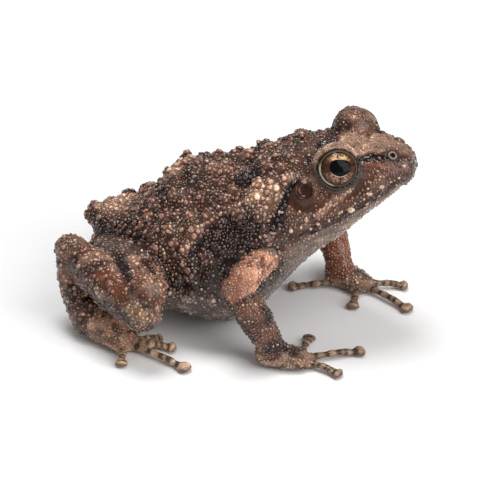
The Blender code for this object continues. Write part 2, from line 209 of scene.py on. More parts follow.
loose, outward = points_of(hide), normals_of(hide)
for k, place in enumerate(loose):
    touch = np.array(part_tree.find_nearest(Vector(place))[0])
    pull = (place - touch) @ outward[k] + HIDE_DEPTH
    loose[k] = place - outward[k] * min(max(pull, -LONGEST_PULL), LONGEST_PULL)
set_points(hide, loose)
smooth(hide, 0.5, 2)


# The folds and warts of the head and body
# The bulges of the eyes with their lids, the nostrils, the eardrums with the fold above them,
# the gland below each eye, the lips, and the loose folds and large warts of the flanks.
EYE_RADIUS = 1.8
EYE_LOOKS = unit((0.34, 0.86, 0.38))
EYE_CENTRE = np.array(EYE_SEAT) - 0.29 * EYE_LOOKS
EYE_ACROSS = np.array((1.0, 0.0, 0.1))
EYE_ACROSS = unit(EYE_ACROSS - (EYE_ACROSS @ EYE_LOOKS) * EYE_LOOKS)
EYE_OVER = np.cross(EYE_ACROSS, EYE_LOOKS)
EYE_OVER *= np.sign(EYE_OVER[2])
LID_OPENING = (1.56, 1.45)   # half width and half height of the opening between the lids
LID_SPREAD = 0.5             # how far the lids reach out from the opening, in radians
LID_REACH = 2.6              # how far from the middle of the eye its lids end
LEG = ("thigh", "shank", "tarsus")
NOSTRIL = np.array((12.86, 1.36, 16.8))
NOSTRIL_RADIUS = 0.19
EARDRUM = np.array((6.55, 4.8, 13.95))
EARDRUM_RADII = (0.92, 1.04)
MOUTH = np.array((
    (6.0, 10.1), (6.6, 10.6), (7.2, 11.0), (9.2, 12.0), (11.2, 13.25), (12.8, 14.05), (13.7, 14.7),
    (14.6, 14.75),
))
EAR_FOLD = ((7.6, 4.3, 15.45), (6.6, 4.4, 15.3), (5.7, 4.5, 14.75), (5.15, 5.1, 13.5), (4.8, 5.7, 12.1))
CHEEK_GLAND = np.array(((10.3, 4.0, 14.75), (9.8, 4.2, 14.45), (8.75, 4.77, 13.59), (7.9, 5.18, 12.79)))
CANTHUS = ((10.6, 2.6, 17.15), (11.6, 1.7, 17.1), (12.4, 1.2, 17.0), (13.1, 0.9, 16.8))
BROW = ((7.0, 3.5, 17.0), (7.8, 3.9, 17.55), (8.8, 4.05, 17.8), (9.8, 3.8, 17.6), (10.6, 3.2, 17.2))
FLANK_LINE = np.array((
    (5.0, 4.1, 14.3), (3.4, 4.4, 13.5), (1.45, 4.75, 12.45), (0.1, 5.2, 11.55), (-1.4, 5.7, 10.5),
    (-2.5, 6.4, 9.0), (-2.6, 6.9, 7.8), (-2.1, 7.2, 6.5),
))


def step_up(low, high, value):
    """A smooth step from 0 at low to 1 at high."""
    t = np.clip((value - low) / (high - low), 0.0, 1.0)
    return t * t * (3 - 2 * t)


def folded(places):
    """The places with their left and right sides laid on each other."""
    return places * (1, 0, 1) + np.abs(places) * (0, 1, 0)


def from_line(places, line):
    """The distance of each place from a line through some points."""
    line = np.asarray(line, float)
    nearest = np.full(len(places), np.inf)
    for a, b in zip(line, line[1:]):
        t = np.clip((places - a) @ (b - a) / ((b - a) @ (b - a)), 0, 1)
        nearest = np.minimum(nearest, length(places - a - t[:, None] * (b - a)))
    return nearest


def grain(places, size, seed):
    """Smooth noise from -1 to 1, whose lumps are about as wide as size."""
    q = places / size + seed * 31.7
    cell = np.floor(q).astype(np.int64)
    f = q - cell
    f = f * f * (3 - 2 * f)
    total = np.zeros(len(places))
    for dx in (0, 1):
        for dy in (0, 1):
            for dz in (0, 1):
                x, y, z = cell[:, 0] + dx, cell[:, 1] + dy, cell[:, 2] + dz
                h = (x * 73856093) ^ (y * 19349663) ^ (z * 83492791) ^ (seed * 2654435)
                h = (h ^ (h >> 13)) * 1274126177 & 0xFFFFFFFF
                h = (h ^ (h >> 16)) * 668265263 & 0xFFFFFFFF
                weight = (
                    np.where(dx, f[:, 0], 1 - f[:, 0]) * np.where(dy, f[:, 1], 1 - f[:, 1])
                    * np.where(dz, f[:, 2], 1 - f[:, 2])
                )
                total += weight * (h / 0xFFFFFFFF)
    return 2 * total - 1


def rough_grain(places, size, seed):
    """Noise with finer lumps on its lumps."""
    fine = 0.3 * grain(places, size / 2, seed + 7)
    return 0.55 * grain(places, size, seed) + fine + 0.15 * grain(places, size / 4, seed + 13)


def eye_angles(places):
    """Round each eye: distance from its centre, angle outside the lids' opening, and turn."""
    d = folded(places) - EYE_CENTRE
    reach = length(d) + 1e-9
    turn = np.arctan2(d @ EYE_OVER, d @ EYE_ACROSS)
    rim = 1 / np.hypot(np.cos(turn) / LID_OPENING[0], np.sin(turn) / LID_OPENING[1])
    away = np.arccos(np.clip(d @ EYE_LOOKS / reach, -1, 1))
    return reach, away - np.arcsin(rim / EYE_RADIUS), turn


def mouth_height(places):
    """Height above the line of the mouth, beside and round the front of the jaws."""
    return places[:, 2] - np.interp(places[:, 0], MOUTH[:, 0], MOUTH[:, 1])


ear_side = np.array((-0.05, 0.93, 0.36))
ear_fore = unit(np.cross(ear_side, (0.0, 0.0, 1.0)))
ear_up = unit(np.cross(ear_fore, ear_side))


def ear_reach(places):
    """Distance from the middle of the eardrum, whose edge is at 1."""
    d = folded(places) - EARDRUM
    reach = np.hypot(d @ ear_fore / EARDRUM_RADII[0], d @ ear_up / EARDRUM_RADII[1])
    return np.where(np.abs(d @ ear_side) < 0.9, reach, 9.0)


def nostril_reach(places):
    return length(folded(places) - NOSTRIL)


def refine(piece, wanted):
    """Splits the faces whose points are all wanted."""
    only(piece)
    bpy.ops.object.mode_set(mode="EDIT")
    bpy.ops.mesh.select_all(action="DESELECT")
    bpy.ops.object.mode_set(mode="OBJECT")
    chosen = wanted(points_of(piece))
    corners = read_rows(piece.data.loops, "vertex_index", 1, int)[:, 0]
    starts = read_rows(piece.data.polygons, "loop_start", 1, int)[:, 0]
    picked = np.minimum.reduceat(chosen[corners], starts).astype(bool)
    piece.data.polygons.foreach_set("select", picked)
    piece.data.update()
    bpy.ops.object.mode_set(mode="EDIT")
    bpy.ops.mesh.select_mode(type="FACE")
    bpy.ops.mesh.subdivide(number_cuts=1)
    bpy.ops.object.mode_set(mode="OBJECT")


def fine_zone(places):
    reach, outside, _ = eye_angles(places)
    eyes = (reach < LID_REACH) & (outside < LID_SPREAD) & (outside > -0.25)
    mouth = (np.abs(mouth_height(places)) < 0.2) & (places[:, 0] > 6.4)
    return eyes | (ear_reach(places) < 1.3) | mouth | (nostril_reach(places) < 0.7)


refine(hide, fine_zone)
refine(hide, lambda places: nostril_reach(places) < 0.5)
P, N = points_of(hide), normals_of(hide)
part, share = part_at(P)
F = folded(P)
on_head, on_torso = is_kind(part, "head"), is_kind(part, "torso")
on_limb, on_hind = is_kind(part, "upper_arm", "forearm", *LEG), is_kind(part, *LEG)
upward = step_up(-0.3, 0.4, N[:, 2])

NAMED_WARTS = (              # place on the left side, radius, height; the right side has the same
    ((-5.9, 1.2, 12.0), 0.8, 0.4), ((-5.2, 0.6, 12.7), 0.9, 0.35), ((-6.69, 3.62, 9.8), 0.55, 0.35),
    ((-7.14, 4.09, 8.97), 0.45, 0.3), ((-7.12, 0.75, 10.4), 0.4, 0.25), ((-6.1, 4.4, 10.0), 0.6, 0.35),
    ((-5.9, 4.0, 10.8), 0.5, 0.3), ((-10.6, 0.4, 8.3), 0.7, 0.2), ((-3.4, 0.6, 12.5), 0.5, 0.2),
    ((-1.3, 0.4, 12.9), 0.6, 0.28), ((2.3, 1.1, 14.4), 0.8, 0.32), ((1.45, 2.8, 13.8), 0.75, 0.3),
    ((4.1, 4.0, 14.2), 0.6, 0.3), ((-1.6, 1.2, 12.7), 0.5, 0.2), ((-4.7, 4.8, 10.6), 0.6, 0.3),
    ((0.3, 2.0, 13.4), 0.55, 0.3), ((8.1, 3.0, 17.6), 0.5, 0.2), ((8.9, 2.4, 17.8), 0.5, 0.18),
    ((7.3, 2.9, 17.0), 0.45, 0.22), ((9.7, 2.6, 17.6), 0.4, 0.14),
)
WART_TRIES = 16000
rng = np.random.default_rng(5)
lift = np.zeros(len(P))
vertex_finder = KDTree(len(P))
for k, place in enumerate(P):
    vertex_finder.insert(Vector(place), k)
vertex_finder.balance()
ragged = rough_grain(P, 0.5, 6)


def raise_wart(centre, radius, height):
    """Raises one uneven wart on the hide, unless it is already higher there."""
    for _, k, distance in vertex_finder.find_range(Vector(centre), radius * 1.3):
        t = 1 - (distance / radius * (1 + 0.35 * ragged[k])) ** 2
        if t > 0:
            lift[k] = max(lift[k], height * t ** 0.8)


for centre, radius, height in NAMED_WARTS:
    for side in (-1, 1):
        raise_wart((centre[0], side * centre[1], centre[2]), radius, height)
wart_spots, wart_sizes = np.empty((0, 3)), np.empty(0)
for k in rng.permutation(len(P))[:WART_TRIES]:
    if on_torso[k] and upward[k] > 0.2 or on_hind[k] and P[k, 2] > 1.5 or on_head[k] and P[k, 0] < 8:
        size = rng.choice((0.3, 0.42, 0.55, 0.75)) if on_torso[k] else 0.35
        if (length(wart_spots - P[k]) > size + wart_sizes).all():
            wart_spots = np.vstack((wart_spots, P[k]))
            wart_sizes = np.append(wart_sizes, size)
for centre, radius in zip(wart_spots, wart_sizes):
    raise_wart(centre, radius, radius * (0.26 if radius == 0.35 else 0.6))

lift += np.where(on_torso, 0.09, 0.03) * rough_grain(P, 1.4, 1)
line_near = np.exp(-(from_line(F, FLANK_LINE) / 0.33) ** 2)
lift += 0.12 * line_near * (1 + 1.3 * grain(P, 0.55, 3)) * on_torso
lift += 0.16 * np.exp(-(from_line(F, EAR_FOLD) / 0.25) ** 2)
lift += 0.14 * np.exp(-(from_line(F, CHEEK_GLAND) / 0.32) ** 2) * (1 + 0.9 * grain(P, 0.4, 4))
lift += 0.1 * np.exp(-(from_line(F, BROW) / 0.3) ** 2) * (1 + 0.8 * grain(P, 0.4, 9))
lift += 0.1 * np.exp(-(from_line(F, CANTHUS) / 0.22) ** 2)
crown = on_head & (N[:, 2] > 0.4) & (P[:, 0] > 7)
lift += crown * (0.15 * rough_grain(P * (1, 0.7, 1), 0.8, 10) + 0.09 * grain(P * (1, 0.6, 1), 0.28, 12))
throat = step_up(0.2, 0.9, -N[:, 2]) * step_up(4.0, 6.0, P[:, 0])
lift += 0.04 * throat * grain(P * (0.4, 1, 1), 0.45, 5)
creases = np.abs(grain(P * (1, 1, 0.6), 0.8, 8))
lift -= on_limb * 0.07 * (1 - step_up(0.0, 0.12, creases))
lift += np.where(on_limb, 0.1, 0.07) * (on_limb | on_head & ~crown) * rough_grain(P, 0.6, 16)

ear = ear_reach(P)
lift = np.where(ear < 1.25, 0.0, lift)
lift += 0.03 * np.exp(-((ear - 1.1) / 0.16) ** 2) - 0.015 * (1 - step_up(0.5, 1.0, ear))
lip = mouth_height(P)
jaws = step_up(6.1, 7.0, P[:, 0]) * on_head
lift = np.where(jaws * (np.abs(lip) < 0.12) > 0.5, 0.0, lift)
lift += jaws * (0.07 * np.exp(-((lip - 0.22) / 0.12) ** 2) - 0.14 * np.exp(-(lip / 0.06) ** 2))
hole = nostril_reach(P)
lift = np.where(hole < 0.6, 0.3 * lift, lift)
lift += 0.07 * np.exp(-((hole - NOSTRIL_RADIUS - 0.12) / 0.09) ** 2)
lift -= 0.36 * (1 - step_up(NOSTRIL_RADIUS * 0.75, NOSTRIL_RADIUS * 1.1, hole))

digit = is_kind(part, "finger", "toe")
knuckle = np.exp(-((share - 0.36) / 0.06) ** 2) + np.exp(-((share - 0.68) / 0.05) ** 2)
disc = step_up(0.8, 0.88, share)
lift = np.where(digit, 0.25 * lift - 0.04 + 0.09 * knuckle + 0.15 * disc, lift)
lift *= step_up(0.0, 0.35, P[:, 2])
P = P + N * lift[:, None]

reach, outside, turn = eye_angles(P)
upper = step_up(-0.1, 0.5, np.sin(turn))
rim_height = EYE_RADIUS + 0.07 + (0.05 + 0.06 * upper) * np.exp(-((outside - 0.13) / 0.08) ** 2)
lid_lumps = rough_grain(P, 0.6, 14) + 0.5 * grain(P, 0.28, 15)
rim_height += 0.13 * upper * step_up(0.1, 0.25, outside) * lid_lumps
rim_height += (1 - upper) * 0.06 * np.exp(-((outside - 0.3) / 0.05) ** 2)
hold = 1 - step_up(0.2, LID_SPREAD, outside)
wanted_reach = np.maximum(rim_height * hold + reach * (1 - hold), EYE_RADIUS + 0.14)
wanted_reach = np.where(outside < 0, EYE_RADIUS - 0.4, wanted_reach)
centre = EYE_CENTRE * np.stack((np.ones(len(P)), np.sign(P[:, 1]), np.ones(len(P))), 1)
P = np.where((reach < 2.7)[:, None], centre + (P - centre) * (wanted_reach / reach)[:, None], P)
P[:, 2] = np.maximum(P[:, 2], 0.0)
set_points(hide, P)
smooth(hide, 0.35, 1)
P = points_of(hide)
bpy.ops.object.shade_smooth()


# The markings
# The frog's camouflage, worked out from the place on the body alone, so that the hide and the
# granules on it carry the same: umber back, black flank, grey belly, barred limbs and digits.
UMBER = np.array((0.178, 0.086, 0.057))
BLACK = np.array((0.009, 0.003, 0.002))
DARK = np.array((0.034, 0.012, 0.007))
TAN = np.array((0.45, 0.265, 0.178))
RUSSET = np.array((0.22, 0.073, 0.036))
CREAM = np.array((0.66, 0.48, 0.32))
GREY = np.array((0.105, 0.076, 0.064))
PALE = np.array((0.32, 0.225, 0.18))
SALMON = np.array((0.52, 0.235, 0.145))
CANTHUS_STRIPE = (
    (10.45, 3.1, 17.0), (10.75, 2.6, 16.92), (11.25, 2.13, 16.8), (12.0, 1.85, 16.76), (12.6, 1.5, 16.8),
)
SNOUT_TIP = ((12.9, 1.5, 16.3), (13.6, 0.9, 16.5), (14.15, 0.75, 16.15), (14.3, 0.4, 15.8))
SNOUT_EDGE = (
    (8.0, 16.2), (10.2, 16.95), (10.9, 16.92), (12.3, 16.9), (12.9, 16.6), (13.6, 16.2), (14.4, 15.7),
)
EAR_PATCH = ((6.0, 4.5, 14.9), (5.6, 4.5, 14.6), (5.2, 4.9, 13.6), (4.9, 5.6, 12.3), (4.5, 5.9, 11.5))
BLACK_FLANK, HIND_FLANK, BLACK_BACK = (1.6, 6.4, 10.2), (-3.9, 5.9, 8.9), (1.47, 2.85, 13.8)


def brush_over(colours):
    """A brush that paints over these colours where a mask says, as far as it says."""
    def cover(mask, paint):
        mask = np.clip(mask, 0, 1)[:, None]
        colours[:] = colours * (1 - mask) + np.asarray(paint) * mask
    return cover


def spot(places, centre, radii, ragged, seed):
    """A spot with a ragged edge, on both sides of the body."""
    d = length((folded(places) - centre) / radii)
    return 1 - step_up(0.75, 1.15, d + ragged * rough_grain(places, 0.8, seed))


def stroke(places, line, width, ragged, seed):
    """A ragged stroke along a line, on both sides of the body."""
    away = from_line(folded(places), line) / width
    return 1 - step_up(0.7, 1.2, away + ragged * rough_grain(places, 0.7, seed))


TORSO_SPOTS = (              # centre, radii, strength and colour
    (BLACK_FLANK, (2.3, 2.5, 2.3), 0.85, BLACK * 2),
    ((3.4, 4.6, 13.3), (1.7, 1.5, 1.6), 0.65, TAN * 1.3),
    (BLACK_BACK, (1.35, 1.0, 1.1), 0.95, BLACK),
    ((-5.6, 2.2, 11.5), (1.0, 0.8, 0.8), 0.85, BLACK * 2),
    ((-5.2, 0.9, 12.9), (1.1, 0.9, 0.8), 0.85, TAN * 0.95),
    ((-7.12, 0.75, 10.4), (0.45, 0.4, 0.4), 0.8, TAN),
    ((-10.5, 0.5, 8.5), (1.9, 1.3, 1.1), 0.85, TAN * 1.2),
    ((-11.7, 1.0, 7.4), (0.45, 0.4, 0.4), 0.9, BLACK * 2),
    ((-6.69, 3.62, 9.8), (0.5, 0.5, 0.5), 0.8, RUSSET * 1.5),
    ((-7.14, 4.09, 8.97), (0.45, 0.4, 0.4), 0.8, RUSSET * 1.6),
    ((-3.4, 3.8, 11.2), (2.4, 1.5, 1.4), 0.35, RUSSET * 0.5),
    ((-4.0, 0.5, 12.4), (0.9, 0.7, 0.6), 0.5, DARK),
)
LEG_STROKES = (              # line, width, strength and colour
    (((-10.8, 4.2, 6.4), (-8.6, 5.4, 7.5), (-6.5, 6.2, 7.9)), 0.8, 0.75, GREY * 1.1),
    (((-9.9, 7.7, 7.6), (-9.0, 7.4, 7.6)), 0.7, 0.9, TAN),
    (((-7.9, 7.2, 7.5), (-7.0, 8.6, 7.5), (-6.3, 9.9, 7.4)), 0.5, 0.95, BLACK * 1.5),
    (((-6.8, 7.2, 7.9), (-5.8, 8.0, 7.9)), 0.4, 0.9, TAN * 1.3),
    (((-5.5, 7.6, 7.9), (-4.4, 8.9, 7.9)), 0.45, 0.9, BLACK * 2),
    (((-8.3, 9.5, 7.2), (-7.2, 10.2, 6.8), (-6.4, 10.4, 6.1)), 0.8, 0.8, RUSSET * 1.1),
    (((-8.8, 10.1, 6.2), (-8.4, 10.5, 5.5)), 0.3, 0.5, CREAM * 0.7),
    (((-8.6, 10.3, 5.0), (-7.6, 10.8, 5.0), (-6.2, 11.5, 4.8), (-5.4, 11.8, 4.5)), 0.6, 0.8, DARK * 1.2),
    (((-5.2, 11.8, 5.8), (-4.7, 11.8, 5.2)), 0.8, 0.6, (0.42, 0.26, 0.15)),
    (((-12.4, 6.0, 7.9), (-12.2, 6.3, 7.0)), 1.2, 0.85, TAN * 0.38 + RUSSET * 0.22),
    (((-11.5, 7.9, 7.1), (-11.0, 8.0, 6.2)), 0.5, 0.85, DARK),
    (((-12.7, 7.2, 5.5), (-12.4, 7.6, 5.1)), 0.65, 0.7, TAN * 0.8),
    (((-12.9, 7.3, 4.2), (-11.4, 8.0, 4.4)), 0.42, 0.92, BLACK * 2),
    (((-12.6, 7.6, 3.4), (-12.0, 8.0, 3.2)), 0.6, 0.7, TAN * 0.8),
)
ARM_STROKES = (
    (((1.5, 9.4, 7.6), (2.0, 9.4, 7.2)), 0.5, 0.5, TAN * 0.8),
    (((4.6, 8.2, 5.3), (5.1, 8.7, 4.7)), 0.6, 0.95, BLACK * 1.5),
    (((1.5, 9.3, 6.3), (2.2, 9.5, 4.8), (3.7, 9.3, 2.8)), 0.5, 0.85, DARK * 0.8),
    (((5.2, 8.7, 2.3), (6.5, 7.2, 2.0)), 0.75, 0.9, BLACK * 2),
    (((3.0, 9.9, 3.6), (3.6, 9.8, 2.9)), 0.4, 0.7, TAN * 0.6),
)


def markings(places, facing, part, share):
    """The colour of the hide at each place."""
    x, y, z = places.T
    f = folded(places)
    torso, head = is_kind(part, "torso"), is_kind(part, "head")
    colours = np.tile(UMBER, (len(places), 1))
    cover = brush_over(colours)

    def blotch(low, high, size, seed):
        return step_up(low, high, rough_grain(places, size, seed))

    def fleck(low, high, size, seed):
        return step_up(low, high, grain(places, size, seed))

    cover(blotch(0.0, 0.4, 1.5, 21) * 0.8, DARK)
    cover(blotch(0.2, 0.5, 1.1, 22) * 0.5, TAN * 0.7)
    cover(blotch(0.15, 0.5, 0.9, 23) * 0.6, RUSSET * 0.8)

    line = np.interp(x, FLANK_LINE[5::-1, 0], FLANK_LINE[5::-1, 2])
    line = np.where(x < FLANK_LINE[5, 0], 9.0 + (x + 2.5) * 0.4, line)
    below = step_up(-0.1, 0.7, line - z + 0.35 * rough_grain(places, 1.0, 24))
    cover(torso * below * (0.9 - 0.6 * step_up(2.5, 4.0, x)), DARK)
    hind_flank = spot(places, HIND_FLANK, (2.0, 2.5, 2.4), 0.3, 25)
    cover(torso * hind_flank * 0.7, UMBER * 0.8 + RUSSET * 0.1)
    belly_line = np.interp(x, (-12, -2, 2.5, 5.2, 8, 14), (5.2, 5.0, 6.4, 8.4, 10.4, 13.2))
    belly = step_up(-0.8, 1.0, belly_line - z + 0.5 * rough_grain(places, 1.2, 27))
    cover((torso | head) * belly * 0.9, GREY * 2.2)
    cover((torso | head) * belly * fleck(0.25, 0.5, 0.42, 28) * 0.85, PALE * 1.9)
    rump_side = stroke(places, ((-10.8, 2.4, 6.8), (-9.0, 3.2, 7.9), (-7.4, 4.2, 8.2)), 1.1, 0.3, 29)
    cover(torso * rump_side * 0.85, DARK * 0.9)
    for k, (centre, radii, strength, paint) in enumerate(TORSO_SPOTS):
        cover(torso * spot(places, centre, radii, 0.35, 31 + k) * strength, paint)
    cover(torso * stroke(places, FLANK_LINE, 0.3, 0.9, 36) * 0.4, TAN * 0.9)
    fore_part = (torso * belly * step_up(3.5, 6.0, x))[:, None]
    colours *= 1 - 0.55 * fore_part

    crown = head & (z > 13)
    edge = np.interp(x, *np.transpose(SNOUT_EDGE))
    top = step_up(-0.08, 0.08, z - edge + 0.15 * grain(places, 0.5, 37)) * step_up(0.0, 0.3, facing[:, 2])
    snout = step_up(8.0, 8.5, x + 0.25 * rough_grain(places, 0.9, 41))
    roof = crown * top * snout
    cover(roof * 0.85, TAN * 0.75)
    between_eyes = roof * (1 - step_up(10.5, 11.5, x)) * (f[:, 1] < 2.2)
    cover(between_eyes * 0.6, TAN * 1.15)
    cover(roof * blotch(0.1, 0.5, 0.6, 42) * 0.5, TAN * 1.25)
    cover(crown * top * blotch(0.05, 0.4, 0.5, 40) * step_up(9.5, 11, x) * 0.85, UMBER * 0.8)
    cover(roof * blotch(0.3, 0.55, 0.4, 52) * 0.7, UMBER * 0.8)
    band = 1 - step_up(0.35, 0.75, np.abs(x - 7.4 + 0.3 * grain(places, 0.8, 43)))
    cover(crown * band * (f[:, 1] < 3.6) * 0.85, DARK * 0.7)
    above = mouth_height(places)
    side_of_head = head * (1 - top) * step_up(0.1, 0.6, above) * step_up(7.3, 8.0, x)
    cover(side_of_head * 0.85, RUSSET * 0.6 + DARK * 0.3)
    cover(side_of_head * blotch(0.2, 0.5, 0.5, 39) * 0.5, TAN * 0.7)
    cover(stroke(places, SNOUT_TIP, 0.4, 0.8, 35) * head * 0.7, DARK)
    cover(stroke(places, EAR_PATCH, 0.42, 0.3, 45) * 0.97, BLACK)
    gland = (from_line(f, CHEEK_GLAND) < 0.27 + 0.2 * grain(places, 0.5, 46)) * 0.9
    gland = gland * fleck(-0.5, -0.1, 0.33, 53)
    cover(head * gland, TAN * 0.55 + SALMON * 0.2)
    lips = head * step_up(-0.7, -0.3, above) * (1 - step_up(0.5, 0.8, above)) * step_up(6, 7, x)
    cover(lips * 0.85, np.where((above > 0)[:, None], DARK * 1.3, GREY * 2.8))
    pale_lips = lips * fleck(0.25, 0.5, 0.45, 47) * np.where(above > 0, 0.2, 0.65)
    cover(pale_lips, PALE * 1.7)
    chin = head * step_up(0.3, 0.9, -above + 0.2 * grain(places, 0.6, 48))
    cover(chin * 0.92, PALE * 1.4)
    cover(chin * blotch(0.1, 0.4, 0.45, 49) * 0.7, PALE * 2.1)
    cover(chin * blotch(0.1, 0.45, 0.7, 50) * 0.5, GREY * 1.3)
    cover(chin * (1 - step_up(6.0, 9.0, x)) * 0.6, GREY * 1.2)
    drum = ear_reach(places)
    cover(1 - step_up(1.0, 1.2, drum), DARK * 0.7 + RUSSET * 0.3)
    low_drum = length(f - EARDRUM - (0.1, 0.1, -0.45))
    cover(0.8 * (1 - step_up(0.1, 0.65, low_drum)), (0.15, 0.06, 0.022))
    reach, outside, turn = eye_angles(places)
    lid = (reach < LID_REACH) & (outside > 0.25) & (z > 16.9) & (y > 0)
    cover(lid * (0.6 + 0.4 * blotch(-0.3, 0.3, 0.5, 34)), UMBER * 0.9)
    cover(lid * spot(places, (8.77, 2.78, 17.84), (0.5, 0.6, 0.5), 0.6, 33) * 0.55, GREY * 1.4)
    cover(head * spot(places, (8.3, 1.8, 17.2), (0.6, 0.5, 0.45), 0.6, 32) * 0.85, DARK)
    lidded = (reach < 2.5) & (outside < 0.5)
    lower = step_up(0.25, -0.15, np.sin(turn)) * (1 - step_up(0.3, 0.42, outside))
    cover(lidded * lower, GREY * 0.8 + UMBER * 0.2)
    brow = lidded * step_up(0.05, 0.3, np.sin(turn)) * (outside > 0.06)
    cover(brow * (y < 0) * blotch(-0.5, 0.1, 0.5, 38), TAN * 1.2)
    shade = np.maximum(
        stroke(places, CANTHUS_STRIPE, 0.5, 0.6, 43), spot(places, NOSTRIL, (0.75, 0.75, 0.6), 0.4, 54),
    )
    cover(shade * head * (above > 1.0) * (1 - step_up(17.0, 17.2, z)) * 0.85, DARK * 1.4)
    stripe = stroke(places, CANTHUS_STRIPE, 0.3, 0.5, 44)
    cover(stripe * head * 0.97, BLACK * 0.8)
    cover(lidded * (1 - step_up(0.01, 0.045, outside)), BLACK)
    hole = nostril_reach(places)
    cover(1 - step_up(0.32, 0.42, hole), GREY * 2.2)
    # Painted shade: the inside of the nostril is painted near black, for the shade in its passage.
    cover(1 - step_up(0.18, 0.26, hole), BLACK * 0.4)

    arm = is_kind(part, "upper_arm") * step_up(0.02, 0.1, share + 0.06 * grain(places, 0.6, 61))
    cover(arm * 0.95, SALMON * 1.1 + TAN * 0.45)
    cover(arm * blotch(0.1, 0.5, 0.9, 51) * 0.5, TAN * 1.5)
    cover(arm * blotch(0.2, 0.45, 0.27, 71) * 0.75, RUSSET * 0.7)
    cover(arm * blotch(0.15, 0.3, 0.5, 63) * 0.85, RUSSET * 0.9)
    elbow = arm * step_up(0.35, 0.75, share + 0.35 * rough_grain(places, 0.9, 52))
    cover(elbow * 0.8, RUSSET * 1.1 + TAN * 0.2)
    fore = is_kind(part, "forearm")
    # Painted light and shade: the far forearm, which lies in the head's shade, is painted lighter and the
    # near forearm darker than their one colour.
    cover(fore * 0.9, (RUSSET * 0.85 + TAN * 0.08) * np.where(y > 0, 1.35, 0.7)[:, None])
    cover(fore * blotch(0.1, 0.5, 0.8, 53) * 0.5, TAN)
    cover(fore * blotch(0.1, 0.4, 1.0, 62) * 0.6, DARK)
    limb_places = places - np.where(y > 0, 1, 0)[:, None] * (2.0, 0.0, -0.4)
    for k, (line, width, strength, paint) in enumerate(ARM_STROKES):
        mark = stroke(limb_places, line, width, 0.3, 90 + k)
        cover(np.maximum(arm, fore) * mark * strength, paint)
    hand = is_kind(part, "hand", "foot")
    cover(hand * 0.9, TAN * 0.8)
    cover(hand * blotch(-0.1, 0.3, 0.7, 54) * 0.8, TAN * 1.1)
    cover(hand * blotch(0.2, 0.4, 0.8, 55) * 0.85, DARK)
    colours[is_kind(part, "foot")] *= 1.6
    leg = is_kind(part, *LEG)
    colours[leg] *= 1.55
    cover(leg * blotch(0.05, 0.2, 1.7, 67) * 0.8, DARK * 1.3)
    cover(leg * blotch(0.1, 0.45, 1.4, 58) * 0.6, RUSSET * 1.1)
    cover(leg * blotch(0.15, 0.45, 0.9, 57) * 0.6, TAN)
    for k, (line, width, strength, paint) in enumerate(LEG_STROKES):
        cover(leg * stroke(places, line, width, 0.4, 100 + k) * strength, paint)
    palm = is_kind(part, "hand", "foot", "tarsus")
    cover(palm * blotch(-0.05, 0.15, 0.9, 65) * 0.7, DARK * 1.5)
    cover(palm * blotch(0.2, 0.35, 0.45, 69) * 0.75, TAN * 1.1)
    wrist = spot(limb_places, (6.3, 7.4, 1.4), (0.95, 0.9, 0.9), 0.4, 97)
    cover(is_kind(part, "hand", "forearm") * wrist * 0.9, BLACK * 2)
    finger = is_kind(part, "finger", "toe")
    on_toe = np.where(is_kind(part, "toe"), 1.6, 0.85)[:, None]
    cover(finger * 0.95, np.array((0.46, 0.30, 0.195)) * on_toe)
    wavy = share + 0.05 * rough_grain(places * 2, 1.0, 59)
    from_band = np.abs(wavy[:, None] - (0.08, 0.28, 0.5, 0.64, 0.8)).min(1)
    cover(finger * (1 - step_up(0.03, 0.05, from_band)) * step_up(-0.8, 0.3, facing[:, 2] + 0.3) * 0.85, DARK)
    disc = finger * step_up(0.84, 0.9, share)
    uneven = (1 + 0.5 * grain(places, 0.3, 56))[:, None]
    cover(disc, np.array((0.38, 0.26, 0.18)) * on_toe * uneven)
    # Painted shade: each disc is painted dark on its sides, where it turns down away from the light, and
    # along a thin line round its rim.
    edge = np.maximum(1 - step_up(0.45, 0.8, facing[:, 2]), 1 - step_up(0.0, 0.03, np.abs(share - 0.86)))
    cover(disc * edge * 0.85, (0.12, 0.06, 0.035))
    return colours


def give_colours(piece, colours):
    layer = piece.data.color_attributes.new("paint", "FLOAT_COLOR", "POINT")
    layer.data.foreach_set("color", np.column_stack((colours, np.ones(len(colours)))).ravel())


N = normals_of(hide)
hide_colours = markings(P, N, part, share)
# Painted shade: the hide is painted darker where the granules stand close, on the torso, head and legs, and a
# little darker on the arms, hands and digits, for the shade in the gaps between them. The top of the snout
# and the low torso are left as they are.
gap_shade = np.where(on_torso | on_head | on_hind, 0.7, 0.9)
gap_shade = np.where((on_head & (N[:, 2] > 0.45) & (P[:, 0] > 8)) | (P[:, 2] < 4) & on_torso, 1.0, gap_shade)
# Painted shade and light: the hide is painted darker in its hollows and lighter on its lumps and warts, by
# how far each point was raised.
relief_shade = np.clip(0.8 + np.where(on_torso, 2.6, 3.2) * (lift - np.where(on_torso, 0.12, 0.02)), 0.4, 1.5)
hide_colours *= (gap_shade * relief_shade * (1 + 0.15 * grain(P, 0.3, 71)))[:, None]
give_colours(hide, hide_colours)


def set_sockets(node, **values):
    """Sets the numbers of a node's sockets, with _ for each blank in their names."""
    for socket, value in values.items():
        node.inputs[socket.replace("_", " ")].default_value = value


def add_noise(tree, place, size, detail):
    noise = tree.nodes.new("ShaderNodeTexNoise")
    set_sockets(noise, Scale=1 / (size * MM), Detail=detail)
    tree.links.new(place.outputs["Object"], noise.inputs["Vector"])
    return noise.outputs["Fac"]


def add_bump(tree, height, depth, normal):
    bump = tree.nodes.new("ShaderNodeBump")
    set_sockets(bump, Strength=1.0, Distance=depth * MM)
    tree.links.new(height, bump.inputs["Height"])
    tree.links.new(bump.outputs["Normal"], normal)


def add_paint(tree):
    paint = tree.nodes.new("ShaderNodeAttribute")
    paint.attribute_name = "paint"
    return paint.outputs["Color"]


